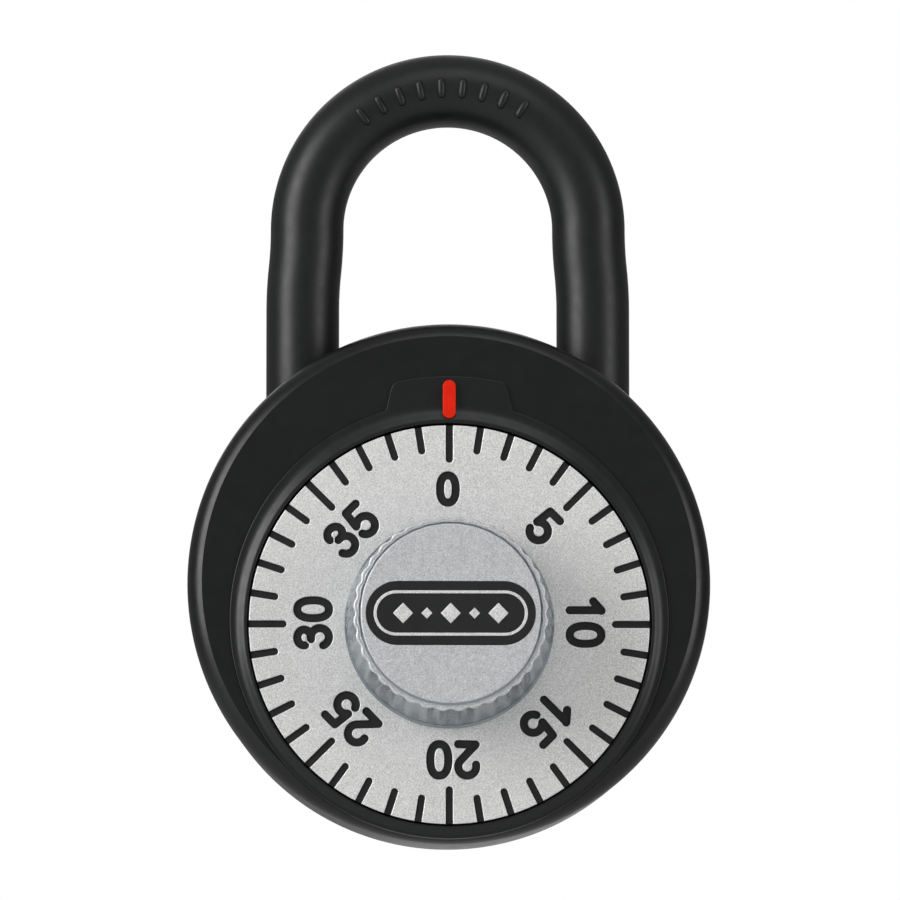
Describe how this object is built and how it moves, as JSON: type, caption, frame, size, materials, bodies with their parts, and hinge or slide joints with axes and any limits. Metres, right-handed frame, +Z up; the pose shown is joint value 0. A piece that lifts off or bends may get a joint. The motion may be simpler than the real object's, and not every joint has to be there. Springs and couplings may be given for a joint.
{
  "type": "combination padlock",
  "caption": "Round dial combination padlock with a black jacketed case, off-centre silver dial and knob, and a lifting U shackle.",
  "frame": {"origin": "inner top of the shackle bow, in the plane of the shackle wire, where the lock hangs from a hasp or staple", "axes": "+X to the right as seen from the front, +Y towards the flat back of the case, +Z up along the shackle legs"},
  "size_m": [0.05, 0.0298, 0.0773],
  "materials": {
    "jacket_black": "satin black, very fine moulded texture",
    "bezel_black": "satin black, smooth",
    "mark_red": "semi-gloss orange red",
    "shackle_black": "satin black coating over hardened steel",
    "dial_silver": "fine-grained satin silver with black filled graduations and numerals",
    "knob_silver": "fine-grained satin silver, smoother on the fluted wall",
    "badge_black": "satin black",
    "plated_steel": "yellowish zinc plating",
    "bright_steel": "turned bright",
    "spring_steel": "bare drawn wire and strip",
    "brass": "stamped brass",
    "sintered_bronze": "porous sintered bronze, matte"
  },
  "bodies": {
    "case": {"front_shell": "jacket_black", "bezel_plate": "bezel_black", "index_mark": "mark_red", "rear_cover": "jacket_black", "mechanism_frame": "plated_steel", "frame_rivets": "bright_steel", "toe_bushing": "sintered_bronze", "heel_bushing": "sintered_bronze", "heel_pin": "bright_steel", "latch_housing": "plated_steel", "lever_pin": "bright_steel", "wheel_post": "bright_steel", "post_clip": "spring_steel", "wheel_spacers": "brass", "dial_washer": "brass", "latch_spring": "spring_steel", "lever_spring": "spring_steel"},
    "shackle": {"shackle": "shackle_black"},
    "dial": {"dial_plate": "dial_silver", "knob": "knob_silver", "knob_badge": "badge_black", "spindle": "bright_steel", "drive_cam": "plated_steel"},
    "middle_wheel": {"middle_wheel": "brass", "middle_fly": "bright_steel"},
    "rear_wheel": {"rear_wheel": "brass", "rear_fly": "bright_steel"},
    "latch": {"latch_bolt": "plated_steel"},
    "lever": {"lever": "bright_steel", "fence": "plated_steel", "lever_follower": "bright_steel"}
  },
  "joints": [
    {"name": "shackle_lift", "type": "slide", "parent": "case", "child": "shackle", "axis": [0, 0, 1], "range_m": [0, 0.009]},
    {"name": "dial_spin", "type": "hinge", "parent": "case", "child": "dial", "pos_m": [0, -0.0103, -0.0495], "axis": [0, -1, 0], "continuous": true},
    {"name": "middle_wheel_spin", "type": "hinge", "parent": "case", "child": "middle_wheel", "pos_m": [0, -0.0011, -0.0495], "axis": [0, -1, 0], "continuous": true},
    {"name": "rear_wheel_spin", "type": "hinge", "parent": "case", "child": "rear_wheel", "pos_m": [0, 0.0013, -0.0495], "axis": [0, -1, 0], "continuous": true},
    {"name": "latch_slide", "type": "slide", "parent": "case", "child": "latch", "axis": [1, 0, 0], "range_m": [0, 0.0045], "deforming": ["latch_spring"]},
    {"name": "lever_pivot", "type": "hinge", "parent": "case", "child": "lever", "pos_m": [0.0068, 0.0028, -0.0333], "axis": [0, -1, 0], "range_deg": [0, 13.6], "deforming": ["lever_spring"]}
  ],
  "couplings": [
    {"joint": "middle_wheel_spin", "follows": "dial_spin", "ratio": 1},
    {"joint": "rear_wheel_spin", "follows": "dial_spin", "ratio": 1},
    {"joint": "latch_slide", "follows": "shackle_lift", "ratio": 0.5},
    {"joint": "lever_pivot", "follows": "shackle_lift", "rad_per_m": 26.111}
  ]
}
